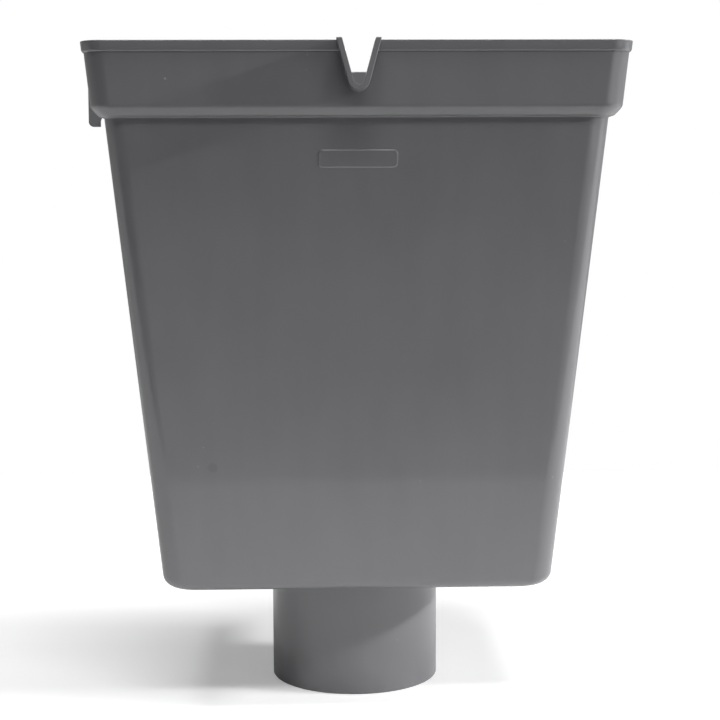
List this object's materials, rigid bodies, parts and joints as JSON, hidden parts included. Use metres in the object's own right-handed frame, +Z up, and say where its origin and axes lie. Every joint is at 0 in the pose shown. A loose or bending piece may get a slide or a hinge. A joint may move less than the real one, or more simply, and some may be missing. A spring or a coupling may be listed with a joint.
{
  "type": "downpipe hopper head",
  "caption": "Grey moulded rainwater hopper head: open tapered box on a round spigot, with a stepped collar, a V-shaped overflow spout in front and slotted fixing ears at the back.",
  "frame": {"origin": "on the flat back that lies against the wall, on the centre line, level with the centres of the arches at the top of the screw slots", "axes": "+Z up, +Y into the wall, +X to the right seen from the front"},
  "size_m": [0.268, 0.1815, 0.2965],
  "materials": {
    "grey_pvc": "moulded grey PVC, semi-gloss"
  },
  "bodies": {
    "root": {"hopper_head": "grey_pvc"}
  },
  "joints": []
}
